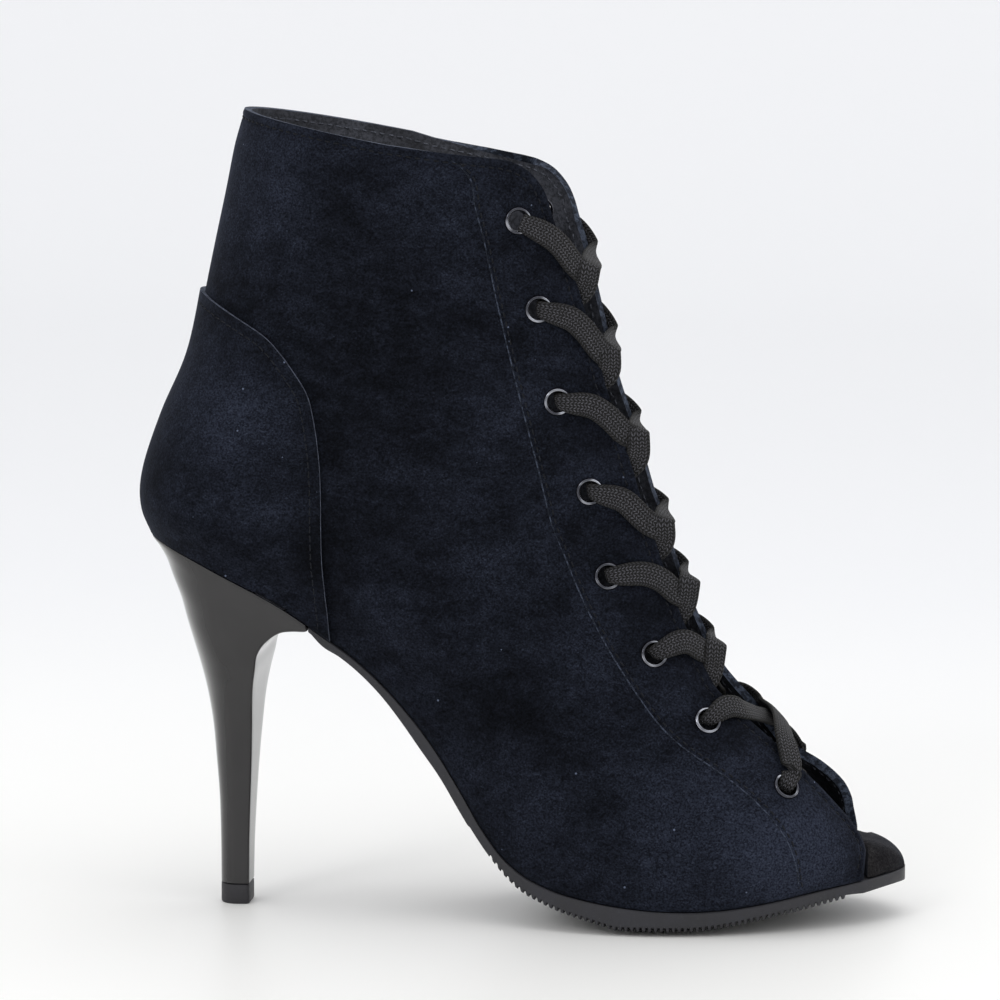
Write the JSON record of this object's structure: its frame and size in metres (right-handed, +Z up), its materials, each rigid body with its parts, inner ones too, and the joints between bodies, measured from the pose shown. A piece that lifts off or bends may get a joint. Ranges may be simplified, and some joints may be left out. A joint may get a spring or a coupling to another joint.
{
  "type": "lace-up peep-toe stiletto ankle boot",
  "caption": "Open-toed suede ankle boot with a lace-up front, a covered heel counter and a slim high heel.",
  "frame": {"origin": "middle of the bounding box, on the floor under the boot", "axes": "+X from the heel to the toe, +Y towards the inner side of the foot, +Z up"},
  "size_m": [0.211, 0.0786, 0.2203],
  "materials": {
    "upper_suede": "brushed suede, matt, navy black",
    "heel_lacquer": "satin gloss, charcoal",
    "sole_rubber": "matt, dark grey",
    "insole_suede": "brushed suede, matt, black",
    "eyelet_metal": "gunmetal plating, polished",
    "lace_braid": "flat braid, matt"
  },
  "bodies": {
    "root": {"upper": "upper_suede", "heel_counter": "upper_suede", "outsole": "sole_rubber", "insole": "insole_suede", "heel": "heel_lacquer", "heel_top_piece": "sole_rubber", "eyelet_outer_1": "eyelet_metal", "eyelet_outer_2": "eyelet_metal", "eyelet_outer_3": "eyelet_metal", "eyelet_outer_4": "eyelet_metal", "eyelet_outer_5": "eyelet_metal", "eyelet_outer_6": "eyelet_metal", "eyelet_outer_7": "eyelet_metal", "eyelet_outer_8": "eyelet_metal", "eyelet_inner_1": "eyelet_metal", "eyelet_inner_2": "eyelet_metal", "eyelet_inner_3": "eyelet_metal", "eyelet_inner_4": "eyelet_metal", "eyelet_inner_5": "eyelet_metal", "eyelet_inner_6": "eyelet_metal", "eyelet_inner_7": "eyelet_metal", "eyelet_inner_8": "eyelet_metal", "lace_crossing_1": "lace_braid", "lace_crossing_2": "lace_braid", "lace_crossing_3": "lace_braid", "lace_crossing_4": "lace_braid", "lace_crossing_5": "lace_braid", "lace_crossing_6": "lace_braid", "lace_crossing_7": "lace_braid"}
  },
  "joints": []
}
